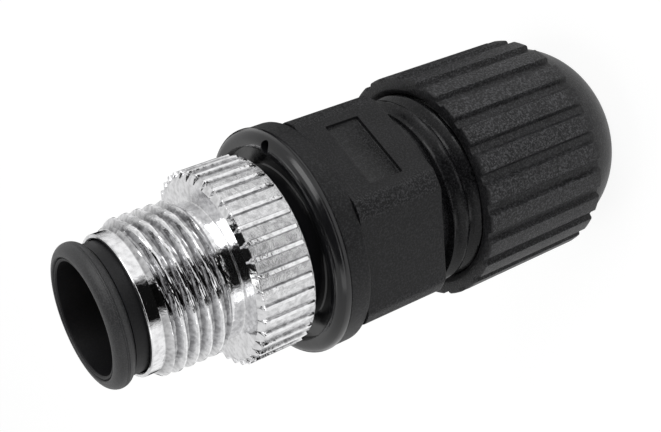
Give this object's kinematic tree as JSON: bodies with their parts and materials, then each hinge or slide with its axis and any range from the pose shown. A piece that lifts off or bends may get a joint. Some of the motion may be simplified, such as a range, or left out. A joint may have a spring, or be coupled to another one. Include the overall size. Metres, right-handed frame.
{
  "type": "m12 circular connector plug",
  "caption": "Straight cable plug with a threaded metal coupling screw, a hexagonal black housing, a fluted compression nut and a shrouded set of contact pins.",
  "frame": {"origin": "centre of the compression nut's flat rear face, on the plug's axis", "axes": "+Z along the plug's axis from the cable end to the mating face; -Y out of the housing flat that has the label recess; +X to the right of that flat"},
  "size_m": [0.0186, 0.0186, 0.0469],
  "materials": {
    "screw_metal": "bright plated zinc die casting",
    "gloss_black": "polished moulding",
    "matte_black": "fine mould texture",
    "carrier_plastic": "satin",
    "seal_rubber": "matte with fine parting lines",
    "pin_gold": "gold plated",
    "screw_steel": "turned",
    "washer_plastic": "natural"
  },
  "bodies": {
    "housing": {"housing": "matte_black", "seal_bush": "seal_rubber"},
    "head_ring": {"head_seal": "seal_rubber"},
    "head": {"head": "gloss_black", "contact_carrier": "carrier_plastic", "contact_pins": "pin_gold", "terminal_screws": "screw_steel", "shroud_seal": "seal_rubber"},
    "coupling_screw": {"coupling_screw": "screw_metal"},
    "clamp": {"clamping_cage": "matte_black", "thrust_washer": "washer_plastic"},
    "compression_nut": {"compression_nut": "matte_black"}
  },
  "joints": [
    {"name": "head_out", "type": "slide", "parent": "housing", "child": "head_ring", "axis": [0, 0, 1], "range_m": [0, 0.003]},
    {"name": "head_turn", "type": "hinge", "parent": "head_ring", "child": "head", "pos_m": [0, 0, 0.028], "axis": [0, 0, 1], "range_deg": [-1, 1081]},
    {"name": "coupling_turn", "type": "hinge", "parent": "head", "child": "coupling_screw", "pos_m": [0, 0, 0.038], "axis": [0, 0, 1], "continuous": true},
    {"name": "clamp_slide", "type": "slide", "parent": "housing", "child": "clamp", "axis": [0, 0, 1], "range_m": [-0.0075, 0.0027], "deforming": ["seal_bush"]},
    {"name": "nut_turn", "type": "hinge", "parent": "clamp", "child": "compression_nut", "pos_m": [0, 0, 0.008], "axis": [0, 0, 1], "range_deg": [-1801, 649]}
  ],
  "couplings": [
    {"joint": "head_turn", "follows": "head_out", "rad_per_m": 6283.2},
    {"joint": "nut_turn", "follows": "clamp_slide", "rad_per_m": 4188.8}
  ]
}
